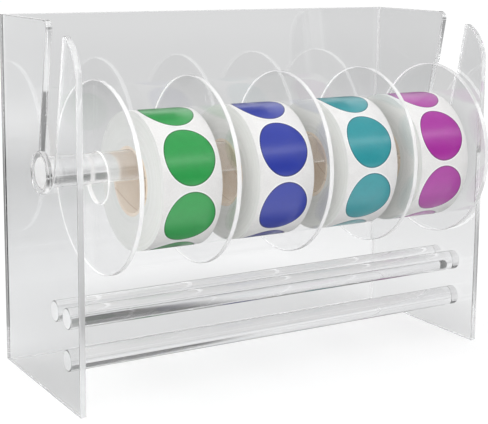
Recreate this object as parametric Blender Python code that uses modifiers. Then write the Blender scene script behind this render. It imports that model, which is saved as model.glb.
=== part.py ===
"""Clear acrylic label roll holder.

Three glued sheets and three cross rods make the stand. Each side panel has an open-topped
slot that leans to the front, and a clear axle with glued end caps lies in the two slots.
Four label rolls and five loose divider discs hang on the axle, which lifts out with them.
The stand is sized round what it carries: the rolls and discs set its width, and the discs
set its depth and height.

Metres, +Z up, -Y is the front. The origin is on the table, at the middle of the floor that
the whole object covers.
"""

import math

import bmesh
import bpy
from mathutils import Vector

# Labels, nearly round on the flat strip and wrapped on the roll's outer turn
label_length = 0.038
label_width = 0.035
label_pitch_gap = 0.0025
label_side_margin = 0.0025
label_thickness = 0.0003
front_gap_angle = math.radians(0.8)

# Rolls: a board core with the backing strip wound on it, up to an outer turn that has
# this many labels and the bare end of the strip
core_bore_play = 0.021
core_wall = 0.002
labels_per_turn = 6
bare_strip_length = 0.0322
roll_side_gap = 0.001

# Divider discs
disc_rim = 0.0165
disc_bore_play = 0.013
disc_thickness = 0.003
disc_edge_break = 0.0003

# Free lengths of the axle: before the first disc, in each bay, and after the last disc
first_disc_gap = 0.029
bay_play = 0.02055
bay_play_shares = (0.99, 1.11, 1.09, 0.81)
last_disc_gap = 0.0018

# Axle and its end caps
axle_diameter = 0.019
axle_edge_break = 0.0005
axle_end_play = 0.0005
cap_lip = 0.0035
cap_thickness = 0.0042
cap_edge_break = 0.0007

# Cross rods: the clear gaps in front of them, under them and between them
rod_diameter = 0.013
rod_edge_break = 0.0005
rod_front_gap = 0.015
lower_rod_floor_gap = 0.0218
lower_rod_gap = 0.0127
upper_rod_gap = 0.0055

# Acrylic sheets of the stand
sheet_thickness = 0.004
sheet_edge_break = 0.0004
disc_rod_clearance = 0.011
disc_back_clearance = 0.0108

# Slot of each side panel: its seat is behind the prong, and its top is open
slot_play = 0.005
slot_lean = math.radians(11.5)
slot_rise = 0.0881
slot_mouth_radius = 0.005
prong_root = 0.0352
prong_rise = 0.0551
prong_nose_radius = 0.0275
prong_tip_radius = 0.0012

# Gap that neighbouring solids keep, and the facets of the round ones
seat_gap = 0.0003
merge_gap = 0.00001
disc_steps = 64
ring_steps = 48
axle_steps = 32
rod_steps = 24
label_sides = 20
arc_step = math.radians(9)

# Colours
acrylic_colour = (0.93, 0.95, 0.96)
acrylic_alpha = 0.35
board_colour = (0.62, 0.42, 0.27)
backing_colour = (0.90, 0.90, 0.89)
label_colours = {
    "green": (0.02, 0.36, 0.07),
    "blue": (0.02, 0.06, 0.42),
    "teal": (0.01, 0.32, 0.36),
    "purple": (0.36, 0.01, 0.34),
}

# Radii
axle_radius = axle_diameter / 2
rod_radius = rod_diameter / 2
slot_radius = axle_radius + slot_play / 2
disc_bore_radius = axle_radius + disc_bore_play / 2
core_bore_radius = axle_radius + core_bore_play / 2
core_radius = core_bore_radius + core_wall
label_pitch = label_length + label_pitch_gap
wrap_radius = (labels_per_turn * label_pitch + bare_strip_length) / (2 * math.pi)
roll_radius = wrap_radius - seat_gap
disc_radius = roll_radius + disc_rim
cap_radius = axle_radius + cap_lip

# How far the axle lies below the slot's centre, and what hangs on it below the axle
axle_drop = slot_radius - axle_radius - seat_gap
disc_drop = disc_bore_radius - axle_radius - seat_gap
roll_drop = core_bore_radius - axle_radius - seat_gap

# Lengths of the stand
roll_width = label_width + 2 * label_side_margin
roll_count = len(bay_play_shares)
bays_width = roll_count * (roll_width + roll_side_gap) + bay_play * sum(bay_play_shares)
discs_width = (roll_count + 1) * disc_thickness
inner_width = first_disc_gap + bays_width + discs_width + last_disc_gap
stand_width = inner_width + 2 * sheet_thickness
slot_setback = prong_root + slot_radius
side_depth = slot_setback + disc_radius + disc_back_clearance - seat_gap
stand_depth = side_depth + seat_gap + sheet_thickness

# Heights above the table
lower_rod_height = lower_rod_floor_gap + rod_radius
upper_rod_height = lower_rod_height + rod_diameter + lower_rod_gap
disc_height = upper_rod_height + rod_radius + disc_rod_clearance + disc_radius
axle_height = disc_height + disc_drop
slot_height = axle_height + axle_drop
roll_height = axle_height - roll_drop
stand_height = slot_height + slot_rise

# Depths: the discs reach past the front edges of the side panels
disc_overhang = disc_radius - slot_setback
stand_rear = (stand_depth + disc_overhang) / 2
stand_front = stand_rear - stand_depth
axle_y = stand_front + slot_setback

lie_along_x = (0.0, math.radians(90), 0.0)
no_turn = (0.0, 0.0, 0.0)
here = (0.0, 0.0, 0.0)


def clear_scene():
    for old in list(bpy.data.objects):
        bpy.data.objects.remove(old, do_unlink=True)


def make_material(name, colour, roughness, alpha=1.0, transmission=0.0):
    material = bpy.data.materials.new(name)
    material.use_nodes = True
    shader = material.node_tree.nodes["Principled BSDF"]
    shader.inputs["Base Color"].default_value = (*colour, 1.0)
    shader.inputs["Roughness"].default_value = roughness
    shader.inputs["Alpha"].default_value = alpha
    shader.inputs["Transmission Weight"].default_value = transmission
    material.diffuse_color = (*colour, alpha)
    return material


def add_joint_empty(name, place, parent=None):
    """An empty on a joint's axis, placed in the world, that carries what the joint moves."""
    empty = bpy.data.objects.new(name, None)
    holder.objects.link(empty)
    empty.location = Vector(place)
    if parent is not None:
        empty.parent = parent
        empty.location -= parent.location
    return empty


def add_piece(name, mesh, material, place, turn=no_turn, parent=None):
    if not mesh.materials:
        mesh.materials.append(material)
    piece = bpy.data.objects.new(name, mesh)
    holder.objects.link(piece)
    piece.parent = parent
    piece.location = place
    piece.rotation_euler = turn
    return piece


def break_edges(piece, width):
    """The narrow chamfer that polishing leaves along the cut edges."""
    bevel = piece.modifiers.new("edge_break", "BEVEL")
    bevel.width = width
    bevel.segments = 1
    bevel.limit_method = "ANGLE"
    bevel.angle_limit = math.radians(50)


def mesh_from(source):
    """The evaluated mesh of a curve or of an object with modifiers, which is then removed."""
    evaluated = source.evaluated_get(bpy.context.evaluated_depsgraph_get())
    mesh = bpy.data.meshes.new_from_object(evaluated)
    mesh.name = source.name
    bpy.data.objects.remove(source, do_unlink=True)
    return mesh


def turned(name, profile, steps):
    """A profile of (radius, height) points, turned about Z. It runs down the outer side."""
    points = [(radius, 0.0, height) for radius, height in profile]
    edges = [(index, index + 1) for index in range(len(points) - 1)]
    has_bore = profile[0][0] > 0.0
    if has_bore:
        edges.append((len(points) - 1, 0))
    outline = bpy.data.meshes.new(f"{name}_profile")
    outline.from_pydata(points, edges, [])
    blank = bpy.data.objects.new(name, outline)
    holder.objects.link(blank)
    screw = blank.modifiers.new("turn", "SCREW")
    screw.steps = steps
    screw.render_steps = steps
    screw.use_merge_vertices = True
    screw.merge_threshold = merge_gap
    screw.use_smooth_shade = True
    mesh = mesh_from(blank)
    mesh.set_sharp_from_angle(angle=math.radians(30))
    return mesh


def turned_bar(name, radius, length, edge_break, steps):
    """A solid round bar along Z with broken edges."""
    half = length / 2
    profile = [
        (0.0, half),
        (radius - edge_break, half),
        (radius, half - edge_break),
        (radius, edge_break - half),
        (radius - edge_break, -half),
        (0.0, -half),
    ]
    return turned(name, profile, steps)


def turned_tube(name, bore_radius, radius, width):
    """A tube along Z with square edges."""
    half = width / 2
    profile = [(radius, half), (radius, -half), (bore_radius, -half), (bore_radius, half)]
    return turned(name, profile, ring_steps)


def turned_disc(name):
    """A divider disc along Z, with its rim's edges broken and a plain bore."""
    half = disc_thickness / 2
    profile = [
        (disc_radius - disc_edge_break, half),
        (disc_radius, half - disc_edge_break),
        (disc_radius, disc_edge_break - half),
        (disc_radius - disc_edge_break, -half),
        (disc_bore_radius, -half),
        (disc_bore_radius, half),
    ]
    return turned(name, profile, disc_steps)


def arc(centre, radius, start, end):
    """Points of an arc in the plane of an outline, both ends included."""
    steps = max(2, math.ceil(abs(end - start) / arc_step))
    angles = [start + (end - start) * step / steps for step in range(steps + 1)]
    return [centre + radius * Vector((math.cos(angle), math.sin(angle))) for angle in angles]


def side_panel_outline():
    """The side panel, with x running back from the front edge and y running up.

    The front edge rises to a shoulder, and a round nose leads from there to the tip of the
    prong. The slot falls from the tip to its round seat and rises to its rounded mouth.
    """
    rearward = Vector((math.cos(slot_lean), math.sin(slot_lean)))
    upward = Vector((-math.sin(slot_lean), math.cos(slot_lean)))
    seat = Vector((slot_setback, slot_height))

    nose = Vector((prong_nose_radius, slot_height + prong_rise))
    tip_reach = prong_nose_radius - prong_tip_radius
    tip_line = seat - rearward * (slot_radius + prong_tip_radius)
    past_line = (nose - tip_line).dot(rearward)
    rise = (nose - tip_line).dot(upward) + math.sqrt(tip_reach ** 2 - past_line ** 2)
    tip = tip_line + upward * rise
    tip_angle = math.atan2(tip.y - nose.y, tip.x - nose.x)

    mouth_line = seat + rearward * (slot_radius + slot_mouth_radius)
    mouth_rise = (stand_height - slot_mouth_radius - mouth_line.y) / upward.y
    mouth = mouth_line + upward * mouth_rise

    points = [Vector((0.0, 0.0))]
    points += arc(nose, prong_nose_radius, math.pi, tip_angle)
    points += arc(tip, prong_tip_radius, tip_angle, slot_lean)[1:]
    points += arc(seat, slot_radius, slot_lean + math.pi, slot_lean + 2 * math.pi)
    points += arc(mouth, slot_mouth_radius, slot_lean + math.pi, math.pi / 2)
    points += [Vector((side_depth, stand_height)), Vector((side_depth, 0.0))]
    return points


def sheet_mesh(name, outline):
    """A sheet cut to an outline: a filled flat curve as thick as the sheet, then a mesh."""
    curve = bpy.data.curves.new(name, "CURVE")
    curve.dimensions = "2D"
    curve.fill_mode = "BOTH"
    curve.extrude = sheet_thickness / 2
    spline = curve.splines.new("POLY")
    spline.points.add(len(outline) - 1)
    for point, place in zip(spline.points, outline):
        point.co = (place.x, place.y, 0.0, 1.0)
    spline.use_cyclic_u = True
    blank = bpy.data.objects.new(name, curve)
    holder.objects.link(blank)
    mesh = mesh_from(blank)
    shape = bmesh.new()
    shape.from_mesh(mesh)
    bmesh.ops.remove_doubles(shape, verts=shape.verts, dist=merge_gap)
    bmesh.ops.dissolve_limit(
        shape,
        angle_limit=math.radians(1),
        verts=shape.verts,
        edges=shape.edges,
    )
    bmesh.ops.recalc_face_normals(shape, faces=shape.faces)
    shape.to_mesh(mesh)
    shape.free()
    return mesh


def build_back_panel():
    """The back panel covers the rear edges of the side panels and reaches the table."""
    shape = bmesh.new()
    bmesh.ops.create_cube(shape, size=1.0)
    bmesh.ops.scale(shape, vec=(stand_width, sheet_thickness, stand_height), verts=shape.verts)
    mesh = bpy.data.meshes.new("back_panel")
    shape.to_mesh(mesh)
    shape.free()
    place = (0.0, stand_rear - sheet_thickness / 2, stand_height / 2)
    panel = add_piece("back_panel", mesh, acrylic, place)
    break_edges(panel, sheet_edge_break)


def build_side_panels():
    """Turned upright, the outline's x and y become the stand's Y and Z."""
    upright = (math.radians(90), 0.0, math.radians(90))
    mesh = sheet_mesh("side_panel", side_panel_outline())
    for side, name in ((-1, "left_side_panel"), (1, "right_side_panel")):
        place = (side * (inner_width + sheet_thickness) / 2, stand_front, 0.0)
        panel = add_piece(name, mesh, acrylic, place, upright)
        break_edges(panel, sheet_edge_break)


def build_rods():
    """Two rods side by side and one below, glued between the side panels."""
    length = inner_width - 2 * seat_gap
    mesh = turned_bar("cross_rod", rod_radius, length, rod_edge_break, rod_steps)
    front_y = stand_front + rod_front_gap + rod_radius
    rear_y = front_y + rod_diameter + upper_rod_gap
    places = {
        "upper_front_rod": (0.0, front_y, upper_rod_height),
        "upper_rear_rod": (0.0, rear_y, upper_rod_height),
        "lower_rod": (0.0, front_y, lower_rod_height),
    }
    for name, place in places.items():
        add_piece(name, mesh, acrylic, place, lie_along_x)


def build_axle():
    """The axle reaches through both slots to its caps, which clear the panels' outsides."""
    lift = add_joint_empty("axle_lift", (0.0, axle_y, axle_height))
    cap_seat = stand_width / 2 + axle_end_play
    length = 2 * (cap_seat - seat_gap)
    mesh = turned_bar("axle_rod", axle_radius, length, axle_edge_break, axle_steps)
    add_piece("axle_rod", mesh, acrylic, here, lie_along_x, lift)
    mesh = turned_bar("axle_cap", cap_radius, cap_thickness, cap_edge_break, axle_steps)
    for side, name in ((-1, "left_axle_cap"), (1, "right_axle_cap")):
        place = (side * (cap_seat + cap_thickness / 2), 0.0, 0.0)
        add_piece(name, mesh, acrylic, place, lie_along_x, lift)
    return lift


def lengthwise_places():
    """Middles of the discs and of the rolls, from left to right.

    They are laid out from the right panel. Each roll is pushed up to the disc on its right.
    """
    discs = [inner_width / 2 - last_disc_gap - disc_thickness / 2]
    rolls = []
    for share in reversed(bay_play_shares):
        roll = discs[0] - disc_thickness / 2 - roll_side_gap - roll_width / 2
        rolls.insert(0, roll)
        discs.insert(0, roll - roll_width / 2 - bay_play * share - disc_thickness / 2)
    return discs, rolls


def build_discs(lift, middles):
    """Each disc hangs on the axle by the top of its large bore."""
    mesh = turned_disc("divider_disc")
    for number, middle in enumerate(middles, start=1):
        name = f"divider_disc_{number}"
        slider = add_joint_empty(f"{name}_slider", (middle, axle_y, disc_height), lift)
        add_piece(name, mesh, acrylic, here, lie_along_x, slider)


def wrapped_label(name):
    """A label bent about X, with its middle at the front of the roll.

    The flat label is cut across at each pair of its corners, so that it can bend there.
    """
    label = bmesh.new()
    bmesh.ops.create_circle(label, cap_ends=True, radius=1, segments=label_sides)
    half_size = (label_length / 2, label_width / 2, 1)
    bmesh.ops.scale(label, vec=half_size, verts=label.verts)
    for column in range(1, label_sides // 2):
        along = label_length / 2 * math.cos(2 * math.pi * column / label_sides)
        bmesh.ops.bisect_plane(
            label,
            geom=label.verts[:] + label.edges[:] + label.faces[:],
            dist=merge_gap,
            plane_co=(along, 0.0, 0.0),
            plane_no=(1.0, 0.0, 0.0),
        )
    for corner in label.verts:
        angle = corner.co.x / wrap_radius
        across = corner.co.y
        corner.co = (-across, -wrap_radius * math.cos(angle), wrap_radius * math.sin(angle))
    mesh = bpy.data.meshes.new(name)
    label.to_mesh(mesh)
    label.free()
    mesh.shade_smooth()
    return mesh


def build_labels(colour_name, spindle):
    """The labels of the outer turn, from the bare end at the back to its other side."""
    material = make_material(f"{colour_name}_label", label_colours[colour_name], 0.35)
    mesh = wrapped_label(f"{colour_name}_label")
    for number in range(labels_per_turn):
        name = f"{colour_name}_label_{number + 1}"
        pitches_up = number - (labels_per_turn - 1) / 2
        angle = front_gap_angle + pitches_up * label_pitch / wrap_radius
        label = add_piece(name, mesh, material, here, (-angle, 0.0, 0.0), spindle)
        thickness = label.modifiers.new("thickness", "SOLIDIFY")
        thickness.thickness = label_thickness
        thickness.offset = 1.0


def build_rolls(lift, middles):
    """A board core, the backing strip wound on it and the labels on its outer turn."""
    core = turned_tube("roll_core", core_bore_radius, core_radius, roll_width)
    backing = turned_tube("wound_backing", core_radius + seat_gap, roll_radius, roll_width)
    for number, (middle, colour_name) in enumerate(zip(middles, label_colours), start=1):
        place = (middle, axle_y, roll_height)
        spindle = add_joint_empty(f"{colour_name}_roll_spindle", place, lift)
        add_piece(f"roll_core_{number}", core, board, here, lie_along_x, spindle)
        add_piece(f"wound_backing_{number}", backing, backing_paper, here, lie_along_x, spindle)
        build_labels(colour_name, spindle)


clear_scene()
holder = bpy.data.collections.new("label_roll_holder")
bpy.context.scene.collection.children.link(holder)
acrylic = make_material("clear_acrylic", acrylic_colour, 0.03, acrylic_alpha, 0.9)
board = make_material("core_board", board_colour, 0.9)
backing_paper = make_material("backing_paper", backing_colour, 0.55)

build_back_panel()
build_side_panels()
build_rods()
axle_lift = build_axle()
disc_middles, roll_middles = lengthwise_places()
build_discs(axle_lift, disc_middles)
build_rolls(axle_lift, roll_middles)
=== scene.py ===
"""Looks of the clear acrylic label roll holder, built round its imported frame.

Every piece stands where its CAD node stands, in metres, and rides on that node's body. The
discs, the cores, the wound strips and the labels follow a rule, so Geometry Nodes grow them.
The panels are cut from an outline, and the rods, the axle and its caps are turned.
"""

import math
from functools import partial

import bmesh
import bpy
from mathutils import Matrix, Vector


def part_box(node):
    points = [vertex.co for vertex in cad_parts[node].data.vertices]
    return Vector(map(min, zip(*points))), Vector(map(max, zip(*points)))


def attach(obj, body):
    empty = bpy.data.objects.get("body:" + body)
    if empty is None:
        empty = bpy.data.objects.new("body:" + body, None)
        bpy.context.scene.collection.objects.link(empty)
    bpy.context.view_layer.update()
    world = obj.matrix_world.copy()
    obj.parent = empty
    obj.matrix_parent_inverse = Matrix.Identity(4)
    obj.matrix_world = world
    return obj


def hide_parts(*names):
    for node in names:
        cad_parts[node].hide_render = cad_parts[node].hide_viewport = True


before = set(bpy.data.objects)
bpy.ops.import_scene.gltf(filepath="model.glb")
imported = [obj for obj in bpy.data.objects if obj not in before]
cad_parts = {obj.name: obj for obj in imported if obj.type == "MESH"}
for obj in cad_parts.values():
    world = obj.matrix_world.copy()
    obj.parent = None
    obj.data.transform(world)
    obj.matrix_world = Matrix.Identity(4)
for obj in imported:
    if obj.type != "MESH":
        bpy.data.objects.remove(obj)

# The side panel's outline, as the part's source has it
slot_play = 0.005
slot_lean = math.radians(11.5)
slot_mouth_radius = 0.005
slot_height = 0.1399
prong_root = 0.0352
prong_rise = 0.0551
prong_nose_radius = 0.0275
prong_tip_radius = 0.0012

# Finer shapes of the panels: their rounded edges, and the facets of their arcs
panel_edge_round = 0.00045
panel_edge_facets = 3
panel_corner_angle = math.radians(50)
panel_arc_step = math.radians(2.5)

# Turned bars: facets round the bar, the width and facets of the polished edge, and how far
# out the inner ring of an end face lies
bar_steps = 96
bar_edge_facets = 4
bar_end_ring = 0.6
rod_edge_round = 0.0005
axle_edge_round = 0.0005
cap_edge_round = 0.0009
glue_gap = 0.00003

# Divider discs and roll cores
disc_count = 5
disc_steps = 256
disc_edge_round = 0.0005
disc_edge_facets = 4
core_edge_round = 0.0003
core_edge_facets = 3

# Rolls: the layers of the wound strip, and its free end. The layers' ends are numbered from 0
# on one side and from far_side_start on the other, to be drawn in each by its own amount
roll_steps = 180
strip_layers = 30
layer_stagger = 0.00014
far_side_start = 1000.0
strip_end_angle = math.radians(180)
strip_end_length = 0.021
strip_thickness = 0.00016

# Labels on the outer turn. Their pitch is measured a little above the strip
label_facets = 22
label_count = 6
label_length = 0.0386
label_width = 0.0356
label_thickness = 0.00014
label_pitch = 0.0405
label_lift = 0.0002
pitch_lift = 0.0001
front_gap_angle = math.radians(0.8)
label_attribute = "label_place"

# The ink of each roll's labels and the fine line round it, as screen values
label_inks = {
    "green": ((8, 161, 68), (8, 104, 42)),
    "blue": ((8, 44, 168), (8, 24, 100)),
    "teal": ((8, 154, 164), (8, 102, 112)),
    "purple": ((174, 8, 162), (112, 8, 102)),
}

# Meshes: how square to an axis a flat face is, which edges are sharp, and which points are one
square_on = 0.999
sharp_angle = math.radians(30)
same_turned_point = 0.000001
same_label_point = 0.000002

# Clear acrylic
acrylic_ior = 1.49
smear_scale = 26.0
handling_depth = 0.0004
shadow_tint = 0.9
# Strength of the painted glow, an emission, on the sawn rod ends
painted_end_glow = 0.09

# Camera: found by fitting the panels' corners and edges to the photograph
camera_place = (-0.4165, -0.6824, 0.2682)
camera_azimuth = math.radians(30.89)
camera_elevation = math.radians(-9.29)
camera_roll = math.radians(0.495)
camera_lens = 90.27
camera_shift_y = -0.123

# Table
table_reach = 14.0
table_level = -0.0003
table_corners = ((-1, -1), (1, -1), (1, 1), (-1, 1))
table_glow = 0.65
table_far_glow = 0.71
scattered_table = 0.8

# Studio: its light on dull surfaces, and its lamps with their place, width, height and power
scattered_light = 0.78
lamp_aim = (0.0, 0.0, 0.12)
lamps = {
    "overhead_softbox": ((-0.2, 0.1, 1.9), 1.5, 1.2, 9.0),
    "front_strip_light": ((0.9, -1.25, 1.12), 1.9, 0.24, 2.6),
    "left_softbox": ((-1.75, -0.75, 0.65), 0.9, 0.9, 7.0),
}

white = (1.0, 1.0, 1.0, 1.0)
x_axis = Vector((1, 0, 0))
y_axis = Vector((0, 1, 0))
sides = ("left", "right")


# Places in the CAD frame


def middle_of(node):
    """The middle of a CAD node's box."""
    low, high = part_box(node)
    return (low + high) / 2


def size_of(node):
    """The size of a CAD node's box."""
    low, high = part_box(node)
    return high - low


def bore_radius_of(node):
    """The radius of a round node's bore, from the CAD mesh."""
    centre = middle_of(node)
    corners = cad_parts[node].data.vertices
    return min(math.hypot(v.co.y - centre.y, v.co.z - centre.z) for v in corners)


# Node helpers


def fill(tree, node, values):
    """Sets each input that is named to a value, or joins it to a socket."""
    for name, value in values.items():
        if isinstance(value, bpy.types.NodeSocket):
            tree.links.new(value, node.inputs[name])
        else:
            node.inputs[name].default_value = value


def add_node(tree, kind, values=None, **settings):
    """A node with its settings and its inputs."""
    node = tree.nodes.new(kind)
    for name, value in settings.items():
        setattr(node, name, value)
    fill(tree, node, values or {})
    return node


def outcome(tree, kind, values=None, **settings):
    """The first output of a node that is made so."""
    return add_node(tree, kind, values, **settings).outputs[0]


def maths(tree, operation, first, second=0.0):
    """The result of one Math node."""
    return outcome(tree, "ShaderNodeMath", {0: first, 1: second}, operation=operation)


def plus(tree, first, second):
    """A sum."""
    return maths(tree, "ADD", first, second)


def minus(tree, first, second):
    """A difference."""
    return maths(tree, "SUBTRACT", first, second)


def times(tree, first, *others):
    """A product of two or more values."""
    for other in others:
        first = maths(tree, "MULTIPLY", first, other)
    return first


def largest(tree, first, *others):
    """The largest of two or more values."""
    for other in others:
        first = maths(tree, "MAXIMUM", first, other)
    return first


def ramp(tree, value, low, high, to_low=0.0, to_high=1.0, smooth=True):
    """The value carried from one range to another, held at both ends."""
    kind = "SMOOTHSTEP" if smooth else "LINEAR"
    inputs = {"Value": value, "From Min": low, "From Max": high}
    inputs.update({"To Min": to_low, "To Max": to_high})
    return outcome(tree, "ShaderNodeMapRange", inputs, interpolation_type=kind)


def chosen(tree, share, otherwise, value):
    """value where the share is 1, and otherwise where it is 0."""
    return ramp(tree, share, 0.0, 1.0, otherwise, value, smooth=False)


def mixed_colour(tree, share, first, second):
    """Two colours, blended by a share. Sockets 6 and 7 are the node's colours."""
    inputs = {0: share, 6: first, 7: second}
    return add_node(tree, "ShaderNodeMix", inputs, data_type="RGBA").outputs[2]


def parts_of(tree, vector):
    """A vector's X, Y and Z."""
    return add_node(tree, "ShaderNodeSeparateXYZ", {0: vector}).outputs


def vector_of(tree, x, y=0.0, z=0.0):
    """A vector from its parts."""
    return outcome(tree, "ShaderNodeCombineXYZ", {"X": x, "Y": y, "Z": z})


def length_of(tree, vector):
    """A vector's length."""
    length = add_node(tree, "ShaderNodeVectorMath", {0: vector}, operation="LENGTH")
    return length.outputs["Value"]


def scaled(tree, vector, factors):
    """A vector with each part multiplied by its own factor."""
    inputs = {0: vector, 1: factors}
    return outcome(tree, "ShaderNodeVectorMath", inputs, operation="MULTIPLY")


def noise(tree, vector, scale, detail=2.0, roughness=0.5):
    """A noise pattern's value."""
    inputs = {"Vector": vector, "Scale": scale, "Detail": detail, "Roughness": roughness}
    return outcome(tree, "ShaderNodeTexNoise", inputs)


def stretched(tree, vector, scale, turn=(0.0, 0.0, 0.0)):
    """Coordinates stretched and turned for a pattern that runs one way."""
    inputs = {"Vector": vector, "Scale": scale, "Rotation": turn}
    return outcome(tree, "ShaderNodeMapping", inputs)


def light_path(tree):
    """What kind of ray asks, and what it went through before."""
    return tree.nodes.new("ShaderNodeLightPath").outputs


def seen_from_inside(tree):
    """1 where a ray meets a face from within the piece."""
    return tree.nodes.new("ShaderNodeNewGeometry").outputs["Backfacing"]


def rgba(red, green, blue):
    """A colour from screen values of 0 to 255, as light."""
    screen = (value / 255 for value in (red, green, blue))
    light = (v / 12.92 if v <= 0.04045 else ((v + 0.055) / 1.055) ** 2.4 for v in screen)
    return (*light, 1.0)


def new_group(name, kind, inputs, outputs):
    """An empty node group with its sockets, whose names are listed by kind, and its ends."""
    group = bpy.data.node_groups.new(name, kind)
    for in_out, sockets in (("INPUT", inputs), ("OUTPUT", outputs)):
        for socket_kind, names in sockets.items():
            for socket in names:
                group.interface.new_socket(
                    name=socket, in_out=in_out, socket_type=f"NodeSocket{socket_kind}"
                )
    start = group.nodes.new("NodeGroupInput")
    return group, start.outputs, group.nodes.new("NodeGroupOutput")


# Shared surface effects


def effect_group(name, colours, numbers):
    """An empty shader group that takes a place, colours and numbers."""
    inputs = {"Vector": ("Vector",), "Color": colours, "Float": numbers}
    outputs = {"Color": ("Colour",), "Float": ("Roughness", "Height")}
    return new_group(name, "ShaderNodeTree", inputs, outputs)


def make_handling_marks():
    """Faint smears and hairline scratches of clear plastic that is handled every day."""
    group, given, end = effect_group(
        "handling_marks",
        ("Clean Colour", "Smeared Colour"),
        ("Clean Roughness", "Smeared Roughness", "Smear Scale", "Wave Scale"),
    )
    place = given["Vector"]
    smears = ramp(group, noise(group, place, given["Smear Scale"], 3.0, 0.55), 0.52, 0.72)
    long_marks = stretched(group, place, (40.0, 900.0, 120.0), (0.4, 0.3, 0.6))
    scratches = ramp(group, noise(group, long_marks, 1.0, 1.0), 0.70, 0.78)
    marks = largest(group, smears, times(group, scratches, 0.7))
    colour = mixed_colour(group, marks, given["Clean Colour"], given["Smeared Colour"])
    roughness = chosen(group, marks, given["Clean Roughness"], given["Smeared Roughness"])
    waves = noise(group, place, given["Wave Scale"], 1.0)
    height = plus(group, waves, times(group, scratches, -0.15))
    fill(group, end, {"Colour": colour, "Roughness": roughness, "Height": height})
    return group


def make_paper_grain():
    """Short fibres and a soft mottle, for paper and board."""
    group, given, end = effect_group(
        "paper_grain",
        ("Light Colour", "Dark Colour"),
        ("Grain Scale", "Smooth Roughness", "Rough Roughness"),
    )
    place = given["Vector"]
    mottle = noise(group, place, times(group, given["Grain Scale"], 0.12), 3.0)
    fibres = noise(group, place, given["Grain Scale"], 4.0, 0.65)
    share = ramp(group, plus(group, times(group, mottle, 0.6), fibres), 0.55, 1.05)
    colour = mixed_colour(group, share, given["Dark Colour"], given["Light Colour"])
    smooth, rough = given["Smooth Roughness"], given["Rough Roughness"]
    roughness = ramp(group, fibres, 0.3, 0.7, smooth, rough)
    fill(group, end, {"Colour": colour, "Roughness": roughness, "Height": fibres})
    return group


handling_marks = make_handling_marks()
paper_grain = make_paper_grain()


# Materials


def new_material(name):
    """A material with only its Principled shader and output, and its object coordinates."""
    material = bpy.data.materials.new(name)
    material.use_nodes = True
    tree = material.node_tree
    shader = tree.nodes["Principled BSDF"]
    place = tree.nodes.new("ShaderNodeTexCoord").outputs["Object"]
    return material, tree, shader, place


def relief(tree, height, strength, distance):
    """The normal that a height gives."""
    inputs = {"Height": height, "Strength": strength, "Distance": distance}
    return outcome(tree, "ShaderNodeBump", inputs)


def show_either(tree, share, first, second):
    """The surface is the first shader where the share is 0, and the second where it is 1."""
    surface = outcome(tree, "ShaderNodeMixShader", {0: share, 1: first, 2: second})
    fill(tree, tree.nodes["Material Output"], {"Surface": surface})


def let_lamps_through(tree, shader, also=None):
    """Clear plastic throws hardly any shadow, so light on its way to a lamp passes it.

    Where the value also is 1, all other light passes too.
    """
    tint = (shadow_tint, shadow_tint, shadow_tint, 1.0)
    through = outcome(tree, "ShaderNodeBsdfTransparent", {"Color": tint})
    passes = light_path(tree)["Is Shadow Ray"]
    if also:
        passes = largest(tree, passes, also)
    show_either(tree, passes, shader.outputs[0], through)


def clear_acrylic(
    name, tints, roughness, relief_strength, wave_scale=22.0, clearness=1.0, painted_glow=0.0,
    painted_mirror_glow=0.0,
):
    """Polished clear acrylic with the marks of handling.

    The tints and the roughness are those of its clean and of its smeared parts. The painted glow
    is emission where a ray meets a face from inside: painted light that stands in for the light
    a piece carries along inside. The painted mirror glow is how many times as bright that
    painted glow looks in a mirroring surface.
    """
    material, tree, shader, place = new_material(name)
    inputs = {
        "Vector": place,
        "Clean Colour": (*tints[0], 1.0),
        "Smeared Colour": (*tints[1], 1.0),
        "Clean Roughness": roughness[0],
        "Smeared Roughness": roughness[1],
        "Smear Scale": smear_scale,
        "Wave Scale": wave_scale,
    }
    marks = add_node(tree, "ShaderNodeGroup", inputs, node_tree=handling_marks).outputs
    fill(tree, shader, {
        "Base Color": marks["Colour"],
        "Roughness": marks["Roughness"],
        "Normal": relief(tree, marks["Height"], relief_strength, handling_depth),
        "IOR": acrylic_ior,
        "Transmission Weight": clearness,
    })
    # Painted glow: emission on faces seen from inside, and a brighter one in mirroring faces
    if painted_glow:
        path = light_path(tree)
        painted_mirror_share = times(tree, path["Is Glossy Ray"], painted_mirror_glow)
        painted_mirror_share = chosen(tree, path["Is Transmission Ray"], painted_mirror_share, 0.0)
        painted_glow_colour = chosen(tree, seen_from_inside(tree), painted_mirror_share, 1.0)
        fill(tree, shader, {"Emission Color": painted_glow_colour, "Emission Strength": painted_glow})
        # The painted glow is too faint to light anything as a lamp would
        material.cycles.emission_sampling = "NONE"
    let_lamps_through(tree, shader)
    return material


def make_rod_end():
    """A cut face of clear acrylic: fine saw marks across it, half polished away.

    It has a faint painted glow: emission that stands in for the light that the bar carries
    along to its ends. From inside the bar it is clear, because it is welded to the panel that it
    meets.
    """
    material, tree, shader, place = new_material("sawn_rod_end")
    marks = noise(tree, stretched(tree, place, (60.0, 500.0, 500.0)), 1.0, 3.0, 0.6)
    grain = noise(tree, place, 900.0)
    fill(tree, shader, {
        "Base Color": mixed_colour(
            tree, ramp(tree, marks, 0.3, 0.8), (0.985, 0.985, 0.985, 1.0), white
        ),
        "Roughness": ramp(tree, marks, 0.35, 0.7, 0.33, 0.715),
        "Normal": relief(tree, plus(tree, marks, grain), 0.25, 0.0002),
        "IOR": acrylic_ior,
        "Transmission Weight": 0.02,
        # Painted glow: a faint emission that stands in for light carried along the bar
        "Emission Color": white,
        "Emission Strength": painted_end_glow,
    })
    let_lamps_through(tree, shader, seen_from_inside(tree))
    return material


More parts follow.
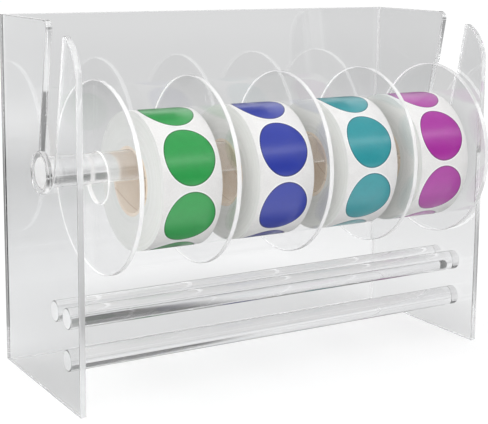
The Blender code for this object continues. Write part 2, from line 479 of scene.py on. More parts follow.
def make_welded_face():
    """A face between two welded panels.

    There is no air between them, so light passes straight on. A few small bubbles in the
    weld still catch it.
    """
    material, tree, shader, place = new_material("welded_face")
    bubbles = ramp(tree, noise(tree, place, 700.0, 1.0), 0.70, 0.76)
    fill(tree, shader, {
        "Base Color": mixed_colour(tree, bubbles, (0.95, 0.95, 0.96, 1.0), white),
        "Roughness": ramp(tree, noise(tree, place, 90.0), 0.3, 0.7, 0.1, 0.4),
        "Normal": relief(tree, bubbles, 0.2, 0.0002),
    })
    through = outcome(tree, "ShaderNodeBsdfTransparent", {"Color": white})
    show_either(tree, bubbles, through, shader.outputs[0])
    return material


def papery(tree, place, light, dark, scale, smooth, rough):
    """The outputs of the paper grain, with this material's own values."""
    inputs = {
        "Vector": place,
        "Light Colour": light,
        "Dark Colour": dark,
        "Grain Scale": scale,
        "Smooth Roughness": smooth,
        "Rough Roughness": rough,
    }
    return add_node(tree, "ShaderNodeGroup", inputs, node_tree=paper_grain).outputs


def make_core_board():
    """Pale spiral-wound board, with the seam of its strip."""
    material, tree, shader, place = new_material("core_board")
    grain = papery(tree, place, rgba(252, 240, 224), rgba(246, 228, 206), 900.0, 0.75, 0.95)
    along, _, up = parts_of(tree, place)
    slanted = plus(tree, along, times(tree, up, 0.6))
    seam = maths(tree, "LESS_THAN", maths(tree, "FRACT", times(tree, slanted, 45.0)), 0.04)
    seam_share = times(tree, seam, 0.5)
    fill(tree, shader, {
        "Base Color": mixed_colour(tree, seam_share, grain["Colour"], rgba(206, 176, 148)),
        "Roughness": grain["Roughness"],
        "Normal": relief(tree, minus(tree, grain["Height"], seam), 0.5, 0.0003),
    })
    return material


def make_backing_paper():
    """Smooth white backing paper, slightly glazed."""
    material, tree, shader, place = new_material("backing_paper")
    grain = papery(tree, place, rgba(241, 240, 239), rgba(233, 232, 231), 1100.0, 0.32, 0.45)
    fill(tree, shader, {
        "Base Color": grain["Colour"],
        "Roughness": grain["Roughness"],
        "Normal": relief(tree, grain["Height"], 0.12, 0.0001),
    })
    return material


def make_layered_edge():
    """The side of the roll: hundreds of strip edges, pale green-grey, a few of them darker."""
    material, tree, shader, place = new_material("layered_edge")
    _, rearward, up = parts_of(tree, place)
    behind = minus(tree, rearward, middle_of("axle_rod").y)
    above = minus(tree, up, middle_of("roll_core_1").z)
    squares = plus(tree, times(tree, behind, behind), times(tree, above, above))
    radius = maths(tree, "SQRT", squares)
    fine_layers = noise(tree, vector_of(tree, times(tree, radius, 3200.0)), 1.0, 1.0)
    bands = noise(tree, vector_of(tree, times(tree, radius, 420.0)), 1.0)
    share = ramp(tree, plus(tree, times(tree, fine_layers, 0.5), bands), 0.5, 1.05)
    dust = noise(tree, place, 700.0, 3.0)
    fill(tree, shader, {
        "Base Color": mixed_colour(tree, share, rgba(236, 238, 234), rgba(247, 248, 246)),
        "Roughness": ramp(tree, dust, 0.3, 0.7, 0.55, 0.8),
        "Normal": relief(tree, plus(tree, fine_layers, bands), 0.5, 0.00012),
    })
    return material


def make_printed_label(name, ink, outline):
    """A printed label: a white die-cut edge, a fine darker line, and satin ink inside it."""
    material, tree, shader, place = new_material(name)
    cut = add_node(tree, "ShaderNodeAttribute", attribute_name=label_attribute)
    reach = length_of(tree, cut.outputs["Vector"])
    dark_ink = (*(0.9 * value for value in ink[:3]), 1.0)
    grain = papery(tree, place, ink, dark_ink, 1400.0, 0.30, 0.40)
    line = times(tree, ramp(tree, reach, 0.91, 0.925), 0.8)
    printed = mixed_colour(tree, line, grain["Colour"], outline)
    edge = ramp(tree, reach, 0.955, 0.963)
    fill(tree, shader, {
        "Base Color": mixed_colour(tree, edge, printed, rgba(251, 251, 251)),
        "Roughness": grain["Roughness"],
        "Normal": relief(tree, grain["Height"], 0.08, 0.0001),
        "Coat Weight": 1.0,
        "Coat Roughness": 0.24,
    })
    return material


sheet_acrylic = clear_acrylic(
    "sheet_acrylic", ((0.955, 0.96, 0.965), (0.945, 0.95, 0.955)), (0.0, 0.03), 0.006
)
# The edges carry a faint painted glow, an emission, where they are seen from inside
sheet_edge = clear_acrylic(
    "polished_sheet_edge",
    ((0.97, 0.975, 0.98), (0.93, 0.94, 0.95)),
    (0.03, 0.12),
    0.05,
    wave_scale=60.0,
    clearness=0.72,
    painted_glow=0.12,
)
welded_face = make_welded_face()
rod_acrylic = clear_acrylic(
    "rod_acrylic", ((0.985, 0.985, 0.99), (0.97, 0.97, 0.975)), (0.0, 0.04), 0.012
)
rod_end = make_rod_end()
# The axle carries a faint painted glow, an emission, where it is seen from inside
axle_acrylic = clear_acrylic(
    "axle_acrylic", ((0.95, 0.95, 0.95), (0.94, 0.94, 0.94)), (0.20, 0.26), 0.012, painted_glow=0.08
)
cap_acrylic = clear_acrylic(
    "cap_acrylic", ((0.985, 0.985, 0.985), (0.97, 0.97, 0.97)), (0.01, 0.06), 0.012
)
disc_acrylic = clear_acrylic(
    "disc_acrylic", ((0.982, 0.983, 0.985), (0.972, 0.972, 0.977)), (0.0, 0.02), 0.004
)
disc_edge = {
    "tints": ((0.995, 0.995, 0.998), (0.98, 0.98, 0.985)),
    "roughness": (0.10, 0.24),
    "relief_strength": 0.06,
    "wave_scale": 120.0,
    "clearness": 0.28,
}
# Both rims carry a painted glow where they are seen from inside, and the outer rim a brighter
# painted glow in mirroring faces
disc_rim_acrylic = clear_acrylic("polished_disc_rim", **disc_edge, painted_glow=0.40, painted_mirror_glow=6.5)
disc_bore_acrylic = clear_acrylic("polished_disc_bore", **disc_edge, painted_glow=0.37)
core_board = make_core_board()
backing_paper = make_backing_paper()
layered_edge = make_layered_edge()
printed_labels = {
    name: make_printed_label(f"{name}_label_print", rgba(*ink), rgba(*outline))
    for name, (ink, outline) in label_inks.items()
}


# Making of pieces


def bare_object(name, data):
    """An object in the scene with its data."""
    thing = bpy.data.objects.new(name, data)
    bpy.context.scene.collection.objects.link(thing)
    return thing


def evaluated_mesh(source, name):
    """The plain mesh of an object with its modifiers on. The object is then removed."""
    bpy.context.view_layer.update()
    evaluated = source.evaluated_get(bpy.context.evaluated_depsgraph_get())
    mesh = bpy.data.meshes.new_from_object(evaluated)
    mesh.name = name
    bpy.data.objects.remove(source, do_unlink=True)
    return mesh


def settle(name, mesh, body, slot, *nodes):
    """A piece that moves with a body and stands for CAD nodes; the slot is not used."""
    piece = bare_object(name, mesh)
    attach(piece, body)
    if nodes:
        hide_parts(*nodes)


def softened(mesh):
    """Smooth shading in which the large faces keep their own direction.

    A long facet that took a share of its rounded edge's direction would bend light wrongly.
    """
    mesh.shade_smooth()
    mesh.set_sharp_from_angle(angle=sharp_angle)
    blank = bare_object(mesh.name, mesh)
    weigh = blank.modifiers.new("weigh", "WEIGHTED_NORMAL")
    weigh.weight = 100
    weigh.keep_sharp = True
    return evaluated_mesh(blank, mesh.name)


def face_materials(mesh, pick, materials):
    """Gives each face the material that pick names by number."""
    mesh.materials.clear()
    for material in materials:
        mesh.materials.append(material)
    for face in mesh.polygons:
        face.material_index = pick(face)


def growing_tree(name, inputs):
    """An empty Geometry Nodes tree with one mesh as its result."""
    return new_group(name, "GeometryNodeTree", inputs, {"Geometry": ("Geometry",)})


def grow(name, tree, values):
    """The plain mesh that a tree grows from its named inputs."""
    blank = bare_object(name, bpy.data.meshes.new(name))
    growth = blank.modifiers.new("growth", "NODES")
    growth.node_group = tree
    for socket in tree.interface.items_tree:
        if socket.in_out == "INPUT":
            growth[socket.identifier] = values[socket.name]
    return softened(evaluated_mesh(blank, name))


def end_tree(tree, geometry, end, material, steep_material=None):
    """Every tree ends alike: instances made real, smooth shading and the material.

    Faces that are steep along the axle can have a material of their own.
    """
    real = outcome(tree, "GeometryNodeRealizeInstances", {"Geometry": geometry})
    smooth = outcome(tree, "GeometryNodeSetShadeSmooth", {"Geometry": real})
    finish = {"Geometry": smooth, "Material": material}
    last = outcome(tree, "GeometryNodeSetMaterial", finish)
    if steep_material:
        normal = tree.nodes.new("GeometryNodeInputNormal").outputs[0]
        sideways = maths(tree, "ABSOLUTE", parts_of(tree, normal)["X"])
        steep = maths(tree, "GREATER_THAN", sideways, 0.5)
        finish = {"Geometry": last, "Selection": steep, "Material": steep_material}
        last = outcome(tree, "GeometryNodeSetMaterial", finish)
    fill(tree, end, {"Geometry": last})


# Panels


def arc(centre, radius, start, end):
    """Points of an arc in the plane of an outline, both ends included."""
    steps = max(2, math.ceil(abs(end - start) / panel_arc_step))
    angles = [start + (end - start) * step / steps for step in range(steps + 1)]
    return [centre + radius * Vector((math.cos(angle), math.sin(angle))) for angle in angles]


def side_panel_outline():
    """The side panel from its front edge back and from the table up, in finer arcs.

    It reaches back to the panel it is welded to.
    """
    low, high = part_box("left_side_panel")
    depth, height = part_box("back_panel")[0].y - glue_gap - low.y, high.z - low.z
    slot_radius = size_of("axle_rod").y / 2 + slot_play / 2
    rearward = Vector((math.cos(slot_lean), math.sin(slot_lean)))
    upward = Vector((-math.sin(slot_lean), math.cos(slot_lean)))
    seat = Vector((prong_root + slot_radius, slot_height))

    nose = Vector((prong_nose_radius, slot_height + prong_rise))
    tip_reach = prong_nose_radius - prong_tip_radius
    tip_line = seat - rearward * (slot_radius + prong_tip_radius)
    past_line = (nose - tip_line).dot(rearward)
    rise = (nose - tip_line).dot(upward) + math.sqrt(tip_reach ** 2 - past_line ** 2)
    tip = tip_line + upward * rise
    tip_angle = math.atan2(tip.y - nose.y, tip.x - nose.x)

    mouth_line = seat + rearward * (slot_radius + slot_mouth_radius)
    mouth = mouth_line + upward * ((height - slot_mouth_radius - mouth_line.y) / upward.y)

    points = [Vector((0.0, 0.0))]
    points += arc(nose, prong_nose_radius, math.pi, tip_angle)
    points += arc(tip, prong_tip_radius, tip_angle, slot_lean)[1:]
    points += arc(seat, slot_radius, slot_lean + math.pi, slot_lean + 2 * math.pi)
    points += arc(mouth, slot_mouth_radius, slot_lean + math.pi, math.pi / 2)
    points += [Vector((depth, height)), Vector((depth, 0.0))]
    return points


def cut_sheet(name, outline, place, thickness, across, along, seams=()):
    """A sheet cut to an outline, with its polished edges rounded.

    across is the direction of the outline's x, and along the direction of its thickness.
    Its faces are split along the seams, which are places on X. They are made one by one,
    so that their order is the same each time.
    """
    shape = bmesh.new()
    near = [shape.verts.new(place + across * p.x + Vector((0, 0, p.y))) for p in outline]
    far = [shape.verts.new(corner.co + along * thickness) for corner in near]
    shape.faces.new(near)
    shape.faces.new(far)
    for step in range(len(outline)):
        shape.faces.new((near[step - 1], near[step], far[step], far[step - 1]))
    bmesh.ops.recalc_face_normals(shape, faces=shape.faces)
    for seam in seams:
        parts = [*shape.verts, *shape.edges, *shape.faces]
        bmesh.ops.bisect_plane(shape, geom=parts, plane_co=(seam, 0, 0), plane_no=x_axis)
    mesh = bpy.data.meshes.new(name)
    shape.to_mesh(mesh)
    shape.free()
    blank = bare_object(name, mesh)
    mesh.shade_smooth()
    rounding = blank.modifiers.new("polished_edges", "BEVEL")
    rounding.width = panel_edge_round
    rounding.segments = panel_edge_facets
    rounding.limit_method = "ANGLE"
    rounding.angle_limit = panel_corner_angle
    rounding.harden_normals = True
    return evaluated_mesh(blank, name)


def side_panel_face(face):
    """The broad faces are 0, the edges 1, and the edge that is welded to the back panel 2."""
    if abs(face.normal.x) > square_on:
        return 0
    return 2 if face.normal.y > square_on else 1


def back_panel_face(face):
    """The same for the back panel, which the side panels are welded to at both ends."""
    if abs(face.normal.y) < square_on:
        return 1
    at_end = abs(face.center.x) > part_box("right_side_panel")[0].x
    return 2 if face.normal.y < 0 and at_end else 0


def build_panels():
    """The back panel, and the two side panels that are welded to it."""
    finishes = (sheet_acrylic, sheet_edge, welded_face)
    low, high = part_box("back_panel")
    size = high - low
    outline = [Vector(corner) for corner in ((0, 0), (0, size.z), (size.x, size.z), (size.x, 0))]
    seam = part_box("right_side_panel")[0].x + panel_edge_round
    mesh = cut_sheet("back_panel", outline, low, size.y, x_axis, y_axis, (-seam, seam))
    face_materials(mesh, back_panel_face, finishes)
    settle("cut_back_panel", mesh, "stand", "panel_acrylic", "back_panel")

    outline = side_panel_outline()
    for side in sides:
        node = f"{side}_side_panel"
        low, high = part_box(node)
        mesh = cut_sheet(node, outline, low, high.x - low.x, y_axis, x_axis)
        face_materials(mesh, side_panel_face, finishes)
        settle(f"cut_{node}", mesh, "stand", "panel_acrylic", node)


# Rods, axle and caps


def turned_bar(node, edge_round, reach=0.0):
    """A solid round bar along X in the node's place, with rounded edges.

    Its ends reach on by a little where it is glued to its neighbours.
    """
    low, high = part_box(node)
    centre = (low + high) / 2
    inner = (high.z - low.z) / 2 - edge_round
    quarter = [math.pi / 2 * step / bar_edge_facets for step in range(bar_edge_facets + 1)]
    half = [
        (edge_round * (1 - math.sin(angle)), inner + edge_round * math.cos(angle))
        for angle in quarter
    ]
    half += [(0.0, inner * bar_end_ring), (0.0, 0.0)]
    points = [(low.x - reach + inset, 0.0, radius) for inset, radius in reversed(half)]
    points += [(high.x + reach - inset, 0.0, radius) for inset, radius in half]
    outline = bpy.data.meshes.new(node)
    outline.from_pydata(points, [(i, i + 1) for i in range(len(points) - 1)], [])
    blank = bare_object(node, outline)
    turn = blank.modifiers.new("turn", "SCREW")
    turn.axis = "X"
    turn.steps = turn.render_steps = bar_steps
    turn.use_merge_vertices = True
    turn.merge_threshold = same_turned_point
    mesh = evaluated_mesh(blank, node)
    shape = bmesh.new()
    shape.from_mesh(mesh)
    bmesh.ops.recalc_face_normals(shape, faces=shape.faces)
    bmesh.ops.translate(shape, vec=(0.0, centre.y, centre.z), verts=shape.verts)
    shape.to_mesh(mesh)
    shape.free()
    return softened(mesh)


def end_faces(face):
    """The sawn ends of a bar are its second material."""
    return 1 if abs(face.normal.x) > square_on else 0


def build_rods():
    """The three rods, up to the side panels that they are glued between."""
    for node in ("upper_front_rod", "upper_rear_rod", "lower_rod"):
        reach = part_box(node)[0].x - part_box("left_side_panel")[1].x - glue_gap
        mesh = turned_bar(node, rod_edge_round, reach)
        face_materials(mesh, end_faces, (rod_acrylic, rod_end))
        settle(f"polished_{node}", mesh, "stand", "rod_acrylic", node)


def build_axle():
    """The axle's rod, up to the caps that are glued to its ends."""
    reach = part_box("axle_rod")[0].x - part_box("left_axle_cap")[1].x - glue_gap
    mesh = turned_bar("axle_rod", axle_edge_round, reach)
    face_materials(mesh, end_faces, (axle_acrylic, rod_end))
    settle("polished_axle_rod", mesh, "axle", "axle_acrylic", "axle_rod")
    for side in sides:
        node = f"{side}_axle_cap"
        mesh = turned_bar(node, cap_edge_round)
        mesh.materials.append(cap_acrylic)
        settle(f"polished_{node}", mesh, "axle", "axle_acrylic", node)


# Discs and cores


def carried_round(tree, section, radius, steps, centre):
    """A closed section carried round a circle, which lies square to X."""
    circle = {"Resolution": steps, "Radius": radius}
    path = outcome(tree, "GeometryNodeCurvePrimitiveCircle", circle, mode="RADIUS")
    ring = outcome(tree, "GeometryNodeCurveToMesh", {"Curve": path, "Profile Curve": section})
    place = {"Geometry": ring, "Rotation": (0.0, math.pi / 2, 0.0), "Translation": centre}
    return outcome(tree, "GeometryNodeTransform", place)


def make_ring_tree():
    """A ring along X with rounded edges: a rounded section carried round a circle."""
    inputs = {
        "Float": ("Bore Radius", "Outer Radius", "Width", "Edge Round"),
        "Int": ("Edge Facets", "Steps"),
        "Vector": ("Centre",),
        "Material": ("Material",),
    }
    tree, given, end = growing_tree("turned_ring", inputs)
    bore, outer = given["Bore Radius"], given["Outer Radius"]
    middle = times(tree, plus(tree, bore, outer), 0.5)
    box = {"Width": minus(tree, outer, bore), "Height": given["Width"]}
    section = outcome(tree, "GeometryNodeCurvePrimitiveQuadrilateral", box)
    corners = {
        "Curve": section,
        "Count": given["Edge Facets"],
        "Radius": given["Edge Round"],
        "Limit Radius": True,
    }
    rounded = outcome(tree, "GeometryNodeFilletCurve", corners, mode="POLY")
    ring = carried_round(tree, rounded, middle, given["Steps"], given["Centre"])
    end_tree(tree, ring, end, given["Material"])
    return tree


ring_tree = make_ring_tree()


def grown_ring(name, node, edge_round, facets, steps, material):
    """A ring in the node's place."""
    size = size_of(node)
    values = {
        "Bore Radius": bore_radius_of(node),
        "Outer Radius": size.z / 2,
        "Width": size.x,
        "Edge Round": edge_round,
        "Edge Facets": facets,
        "Steps": steps,
        "Centre": middle_of(node),
        "Material": material,
    }
    return grow(name, ring_tree, values)


def disc_face(middle, between_rims, face):
    """The flat faces of a disc are 0, its outer rim 1 and the rim of its bore 2."""
    if abs(face.normal.x) > square_on:
        return 0
    return 1 if (face.center - middle).length > between_rims else 2


def build_discs():
    """The divider discs, whose two rims have materials of their own."""
    finishes = (disc_acrylic, disc_rim_acrylic, disc_bore_acrylic)
    for number in range(1, disc_count + 1):
        node = f"divider_disc_{number}"
        name = f"polished_disc_{number}"
        mesh = grown_ring(
            name, node, disc_edge_round, disc_edge_facets, disc_steps, disc_acrylic
        )
        pick = partial(disc_face, middle_of(node), 2 * bore_radius_of(node))
        face_materials(mesh, pick, finishes)
        settle(name, mesh, f"disc_{number}", "disc_acrylic", node)


# Rolls


def make_strip_tree():
    """The wound strip: a section whose sides step in and out from layer to layer."""
    inputs = {
        "Float": ("Bore Radius", "Outer Radius", "Width", "Stagger"),
        "Int": ("Layers", "Steps", "Seed"),
        "Vector": ("Centre",),
        "Material": ("Side Material", "Material"),
    }
    tree, given, end = growing_tree("wound_strip", inputs)
    bore, outer, layers = given["Bore Radius"], given["Outer Radius"], given["Layers"]
    half = times(tree, given["Width"], 0.5)
    middle = times(tree, plus(tree, bore, outer), 0.5)
    layer_height = maths(tree, "DIVIDE", minus(tree, outer, bore), layers)

    # Two points a layer go up one side, and two a layer come down the other
    one_side = times(tree, layers, 2.0)
    both_sides = times(tree, layers, 4.0)
    line = outcome(tree, "GeometryNodeMeshLine", {"Count": both_sides})
    index = tree.nodes.new("GeometryNodeInputIndex").outputs[0]
    on_far_side = maths(tree, "GREATER_THAN", index, minus(tree, one_side, 0.5))
    from_end = minus(tree, minus(tree, both_sides, 1.0), index)
    step = maths(tree, "MINIMUM", index, from_end)
    layer = maths(tree, "FLOOR", times(tree, step, 0.5))
    top_of_layer = maths(tree, "MODULO", step, 2.0)
    rise = times(tree, plus(tree, layer, top_of_layer), layer_height)
    radius = minus(tree, plus(tree, bore, rise), middle)

    # Each layer's side is drawn in by its own amount
    own_layer = plus(tree, layer, times(tree, on_far_side, far_side_start))
    draw = {"ID": own_layer, "Seed": given["Seed"]}
    spread = add_node(tree, "FunctionNodeRandomValue", draw, data_type="FLOAT")
    fill(tree, spread, {"Max": given["Stagger"]})
    reach = minus(tree, half, spread.outputs["Value"])
    sign = minus(tree, times(tree, on_far_side, 2.0), 1.0)
    spot = vector_of(tree, radius, times(tree, reach, sign))

    section = outcome(tree, "GeometryNodeSetPosition", {"Geometry": line, "Position": spot})
    curve = outcome(tree, "GeometryNodeMeshToCurve", {"Mesh": section})
    loop = {"Geometry": curve, "Cyclic": True}
    closed = outcome(tree, "GeometryNodeSetSplineCyclic", loop)
    roll = carried_round(tree, closed, middle, given["Steps"], given["Centre"])
    end_tree(tree, roll, end, given["Material"], given["Side Material"])
    return tree


def bend_round_roll(tree, flat, radius):
    """Flat places bent about X: x runs up the roll's front, and y to the left along it."""
    up_front, leftward, _ = parts_of(tree, flat)
    angle = maths(tree, "DIVIDE", up_front, radius)
    ahead = times(tree, maths(tree, "COSINE", angle), radius)
    up = times(tree, maths(tree, "SINE", angle), radius)
    return vector_of(tree, times(tree, leftward, -1.0), times(tree, ahead, -1.0), up)


def thickened(tree, sheet, thickness):
    """A solid from a sheet: its raised copy with walls, and the sheet turned over below."""
    push = {"Mesh": sheet, "Offset Scale": thickness, "Individual": False}
    raised = outcome(tree, "GeometryNodeExtrudeMesh", push)
    below = outcome(tree, "GeometryNodeFlipFaces", {"Mesh": sheet})
    both = tree.nodes.new("GeometryNodeJoinGeometry")
    fill(tree, both, {0: below})
    fill(tree, both, {0: raised})
    weld = {"Geometry": both.outputs[0], "Distance": same_label_point}
    return outcome(tree, "GeometryNodeMergeByDistance", weld)


def drawn_in(tree, value, other, roundness):
    """One coordinate of a square grid, drawn towards a disc by the roundness."""
    less = times(tree, other, other, 0.5, roundness)
    return times(tree, value, maths(tree, "SQRT", minus(tree, 1.0, less)))


def make_label_tree():
    """Labels round a roll: a square grid drawn into a disc, bent, thickened and repeated."""
    inputs = {
        "Float": (
            "Length",
            "Width",
            "Thickness",
            "Roundness",
            "Wrap Radius",
            "First Angle",
            "Pitch Angle",
        ),
        "Int": ("Count", "Facets"),
        "Vector": ("Centre",),
        "Material": ("Material",),
    }
    tree, given, end = growing_tree("labels_round_roll", inputs)
    facets, roundness = given["Facets"], given["Roundness"]
    grid = {"Size X": 2.0, "Size Y": 2.0, "Vertices X": facets, "Vertices Y": facets}
    sheet = outcome(tree, "GeometryNodeMeshGrid", grid)
    position = tree.nodes.new("GeometryNodeInputPosition").outputs[0]
    x, y, _ = parts_of(tree, position)
    disc = vector_of(tree, drawn_in(tree, x, y, roundness), drawn_in(tree, y, x, roundness))

    # The place within a label stays with it, for its print
    store = {"Geometry": sheet, "Name": label_attribute}
    kind = {"data_type": "FLOAT_VECTOR"}
    kept = add_node(tree, "GeometryNodeStoreNamedAttribute", store, domain="POINT", **kind)
    fill(tree, kept, {"Value": disc})
    name = {"Name": label_attribute}
    place = outcome(tree, "GeometryNodeInputNamedAttribute", name, **kind)

    half_length = times(tree, given["Length"], 0.5)
    half_width = times(tree, given["Width"], 0.5)
    flat = scaled(tree, place, vector_of(tree, half_length, half_width))
    bent = {
        "Geometry": kept.outputs[0],
        "Position": bend_round_roll(tree, flat, given["Wrap Radius"]),
    }
    wrapped = outcome(tree, "GeometryNodeSetPosition", bent)
    one_label = thickened(tree, wrapped, given["Thickness"])

    row = {"Count": given["Count"], "Offset": (0.0, 0.0, 0.0)}
    stations = outcome(tree, "GeometryNodeMeshLine", row)
    number = tree.nodes.new("GeometryNodeInputIndex").outputs[0]
    angle = plus(tree, times(tree, number, given["Pitch Angle"]), given["First Angle"])
    turn = vector_of(tree, times(tree, angle, -1.0))
    copies = {"Points": stations, "Instance": one_label, "Rotation": turn}
    labels = outcome(tree, "GeometryNodeInstanceOnPoints", copies)
    place = {"Geometry": labels, "Translation": given["Centre"]}
    placed = outcome(tree, "GeometryNodeTransform", place)
    end_tree(tree, placed, end, given["Material"])
    return tree


strip_tree = make_strip_tree()
label_tree = make_label_tree()


def outer_turn(node):
    """The radius of a roll's outer turn, up to the underside of the labels."""
    return size_of(node).z / 2 + label_lift


def build_core(name, node, body):
    """The board core of a roll."""
    mesh = grown_ring(name, node, core_edge_round, core_edge_facets, roll_steps, core_board)
    settle(name, mesh, body, "core_board", node)


def build_strip(name, node, core, seed, body):
    """The wound strip reaches from the core to the underside of the labels."""
    values = {
        "Bore Radius": size_of(core).z / 2,
        "Outer Radius": outer_turn(node),
        "Width": size_of(node).x,
        "Layers": strip_layers,
        "Stagger": layer_stagger,
        "Steps": roll_steps,
        "Seed": seed,
        "Centre": middle_of(node),
        "Side Material": layered_edge,
        "Material": backing_paper,
    }
    settle(name, grow(name, strip_tree, values), body, "backing_paper", node)


def wrapped_mesh(name, node, values):
    """Labels, or the strip's free end, on the outer turn of a roll."""
    radius = outer_turn(node)
    shared = {
        "Wrap Radius": radius,
        "Pitch Angle": label_pitch / (radius + pitch_lift),
        "Facets": label_facets,
        "Centre": middle_of(node),
    }
    return grow(name, label_tree, {**shared, **values})


def build_labels(colour_name, node, body):
    """The labels' middles stand where the CAD labels have theirs."""
    radius = outer_turn(node) + pitch_lift
    values = {
        "Length": label_length,
        "Width": label_width,
        "Thickness": label_thickness,
        "Roundness": 1.0,
        "First Angle": front_gap_angle - (label_count - 1) / 2 * label_pitch / radius,
        "Count": label_count,
        "Material": printed_labels[colour_name],
    }
    name = f"{colour_name}_labels"
    mesh = wrapped_mesh(name, node, values)
    nodes = [f"{colour_name}_label_{count + 1}" for count in range(label_count)]
    settle(name, mesh, body, f"{colour_name}_label", *nodes)


def build_strip_end(name, node, body):
    """The free end of the strip, at the back of a roll."""
    values = {
        "Length": strip_end_length,
        "Width": size_of(node).x - 2 * layer_stagger,
        "Thickness": strip_thickness,
        "Roundness": 0.0,
        "First Angle": strip_end_angle,
        "Count": 1,
        "Material": backing_paper,
    }
    settle(name, wrapped_mesh(name, node, values), body, "backing_paper")


def build_rolls():
    """The four rolls, from left to right."""
    for number, colour_name in enumerate(label_inks, start=1):
        body = f"{colour_name}_roll"
        core, strip = f"roll_core_{number}", f"wound_backing_{number}"
        build_core(f"board_core_{number}", core, body)
        build_strip(f"wound_strip_{number}", strip, core, number, body)
        build_labels(colour_name, strip, body)
        build_strip_end(f"{colour_name}_strip_end", strip, body)


# Table, light and the camera


def ray_shares(tree):
    """Shares of 0 or 1 for the kinds of ray that the table and the world treat apart.

    They are the camera's own rays, those mirrored from a first surface, those that only
    passed through clear pieces, and those that light a dull surface.
    """
    path = light_path(tree)
    unmirrored = maths(tree, "LESS_THAN", path["Glossy Depth"], 0.5)
    unscattered = maths(tree, "LESS_THAN", path["Diffuse Depth"], 0.5)
    outside = maths(tree, "LESS_THAN", path["Transmission Depth"], 0.5)
    mirrored = times(tree, path["Is Glossy Ray"], outside, unscattered)
    straight = times(tree, path["Is Transmission Ray"], unmirrored, unscattered)
    scattered = minus(tree, 1.0, unscattered)
    return path["Is Camera Ray"], mirrored, straight, scattered


def make_pale_table():
    """A pale table that keeps the soft shadow.

    For rays that come through the clear pieces it is painted greyer away from the object, a
    painted falloff of light as on a lit table in a darker room. For mirrored rays and rays
    turned about inside the clear pieces it carries painted light and shade as well.
    """
    material, tree, shader, place = new_material("pale_table")
    camera_ray, mirrored, straight, scattered = ray_shares(tree)
    rightward, rearward, _ = parts_of(tree, place)
    distance = length_of(tree, place)
    at_back = ramp(tree, rearward, 0.05, 0.25)

    # Through clear pieces: painted greyer with the distance, and painted shade a little darker
    # at their foot
    near = ramp(tree, distance, 0.18, 0.80, 0.935, 0.655)
    painted_foot_shade = ramp(tree, distance, 0.12, 0.27, 0.84, 1.0)
    far = ramp(tree, distance, 1.2, 4.0, 0.0, 0.07)
    through = plus(tree, times(tree, near, painted_foot_shade), far)

    # In mirroring faces, painted light and shade: painted shade beneath the stand and behind it
    # on the right, and behind it on the left a painted dim strip that turns into a painted
    # bright wall
    from_stand = length_of(tree, scaled(tree, place, (0.25, 1.0, 1.0)))
    painted_shade_beneath = ramp(tree, from_stand, 0.04, 0.11, 0.22, 1.0)
    painted_back_right_shade = times(tree, ramp(tree, rightward, -0.14, 0.02), at_back)
    right_tone = times(tree, painted_shade_beneath, ramp(tree, painted_back_right_shade, 0.0, 1.0, 1.0, 0.15))
    left_back = times(tree, ramp(tree, rightward, -0.15, 0.05, 1.0, 0.0), at_back)
    painted_dim_strip = ramp(tree, distance, 0.22, 0.60, 0.70, 0.20)
    painted_bright_wall = ramp(tree, distance, 0.75, 1.35, 0.0, 1.35)
    left_tone = plus(tree, painted_dim_strip, painted_bright_wall)
    reflected = ramp(tree, left_back, 0.0, 1.0, right_tone, left_tone)

    # For rays turned about inside the clear pieces, painted light and shade: bright near by and
    # dim far off, with painted shade between the panels near the stand and behind it on the
    # right
    painted_edge_light = ramp(tree, distance, 0.9, 1.8, 0.8, 0.13)
    painted_back_right_dimming = ramp(tree, painted_back_right_shade, 0.0, 1.0, 1.0, 0.6)
    painted_shade_under_panels = ramp(tree, maths(tree, "ABSOLUTE", rightward), 0.10, 0.14, 0.3, 0.85)
    painted_open_table_light = ramp(tree, distance, 0.12, 0.45, 0.3, 1.0)
    painted_edge_light = times(tree, painted_edge_light, painted_back_right_dimming, largest(tree, painted_shade_under_panels, painted_open_table_light))
    unseen_tone = chosen(tree, scattered, painted_edge_light, scattered_table)

    seen = largest(tree, camera_ray, mirrored, straight)
    tint = chosen(tree, mirrored, 1.0, reflected)
    tint = chosen(tree, straight, tint, through)
    faint = ramp(tree, noise(tree, place, 60.0, 3.0), 0.3, 0.7, 0.395, 0.405)
    tone = chosen(tree, seen, unseen_tone, times(tree, faint, tint))
    grey = {"Red": tone, "Green": tone, "Blue": tone}
    painted_glow = ramp(tree, distance, 0.3, 2.0, table_glow, table_far_glow)
    fill(tree, shader, {
        "Base Color": outcome(tree, "ShaderNodeCombineColor", grey),
        "Roughness": 0.9,
        "Specular IOR Level": 0.0,
        "Emission Color": white,
        "Emission Strength": times(tree, seen, tint, painted_glow),
    })
    return material


def build_floor():
    """The table that the stand is on."""
    mesh = bpy.data.meshes.new("table")
    corners = [(x * table_reach, y * table_reach, table_level) for x, y in table_corners]
    mesh.from_pydata(corners, [], [(0, 1, 2, 3)])
    mesh.materials.append(make_pale_table())
    bare_object("table", mesh)


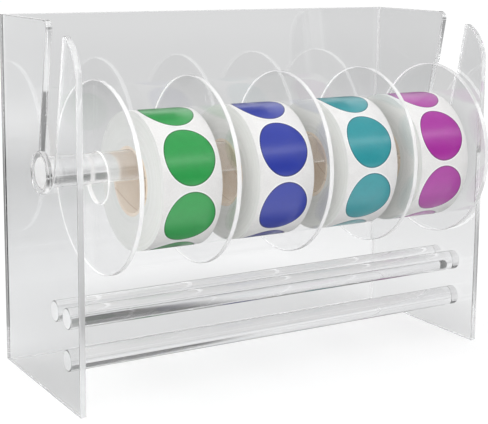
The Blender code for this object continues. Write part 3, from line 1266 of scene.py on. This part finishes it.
def build_world():
    """White where the camera looks past the object, and elsewhere a studio.

    It is bright above and dark near the horizon, with a dark screen behind that the rods
    bend into view.
    """
    world = bpy.data.worlds.new("soft_studio")
    bpy.context.scene.world = world
    world.use_nodes = True
    tree = world.node_tree
    direction = tree.nodes.new("ShaderNodeTexCoord").outputs["Generated"]
    across, ahead, height = parts_of(tree, direction)
    camera_ray, mirrored, straight, scattered = ray_shares(tree)

    # Through clear pieces: white, but for the dark screen
    bearing = maths(tree, "ARCTAN2", across, ahead)
    right_of_screen = ramp(tree, bearing, 0.45, 0.56)
    left_of_screen = ramp(tree, bearing, -1.1, -0.8, 1.0, 0.0)
    above_screen = ramp(tree, height, 0.48, 0.56)
    below_screen = ramp(tree, height, 0.03, 0.05, 1.0, 0.0)
    off_screen = largest(tree, right_of_screen, left_of_screen, above_screen, below_screen)
    through = ramp(tree, off_screen, 0.0, 1.0, 0.16, 0.90)

    # The room: a bright top, a bright line at the horizon, and dimmer behind the camera
    sky = ramp(tree, height, 0.14, 0.50, 0.16, 1.0)
    low_sky = ramp(tree, height, 0.0, 0.07, 0.85, 0.0)
    behind = ramp(tree, ahead, -0.2, 0.6, 0.55, 1.0)
    studio = times(tree, largest(tree, sky, low_sky), behind)

    # In mirroring faces, the part of the room ahead is brighter low down
    glancing = ramp(tree, ahead, 0.1, 0.5)
    low_glance = ramp(tree, height, 0.12, 0.30, 1.0, 0.18)
    glanced = chosen(tree, glancing, studio, low_glance)

    strength = chosen(tree, mirrored, studio, glanced)
    strength = chosen(tree, scattered, strength, scattered_light)
    strength = chosen(tree, straight, strength, through)
    strength = chosen(tree, camera_ray, strength, 1.0)
    fill(tree, tree.nodes["Background"], {"Color": white, "Strength": strength})


def build_lights():
    """Rectangular lamps that face the middle of the stand."""
    for name, (place, width, height, power) in lamps.items():
        light = bpy.data.lights.new(name, "AREA")
        light.shape = "RECTANGLE"
        light.size, light.size_y = width, height
        light.energy = power
        lamp = bare_object(name, light)
        lamp.location = place
        facing = Vector(lamp_aim) - Vector(place)
        lamp.rotation_euler = facing.to_track_quat("-Z", "Y").to_euler()


def build_camera():
    """The photograph's camera."""
    lens = bpy.data.cameras.new("camera")
    lens.sensor_fit = "HORIZONTAL"
    lens.sensor_width = 36.0
    lens.lens = camera_lens
    lens.shift_y = camera_shift_y
    lens.clip_start = 0.01
    lens.clip_end = 60.0
    camera = bare_object("camera", lens)
    azimuth = Matrix.Rotation(-camera_azimuth, 4, "Z")
    elevation = Matrix.Rotation(math.pi / 2 + camera_elevation, 4, "X")
    roll = Matrix.Rotation(camera_roll, 4, "Z")
    camera.matrix_world = Matrix.Translation(camera_place) @ azimuth @ elevation @ roll
    bpy.context.scene.camera = camera


def set_view():
    """Plain colours, and enough bounces for light to cross all the clear pieces."""
    scene = bpy.context.scene
    scene.view_settings.view_transform = "Standard"
    scene.cycles.max_bounces = 32
    scene.cycles.transmission_bounces = 28
    scene.cycles.glossy_bounces = 16
    scene.cycles.diffuse_bounces = 5
    scene.cycles.transparent_max_bounces = 24


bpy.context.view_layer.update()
build_panels()
build_rods()
build_axle()
build_discs()
build_rolls()
build_floor()
build_world()
build_lights()
build_camera()
set_view()
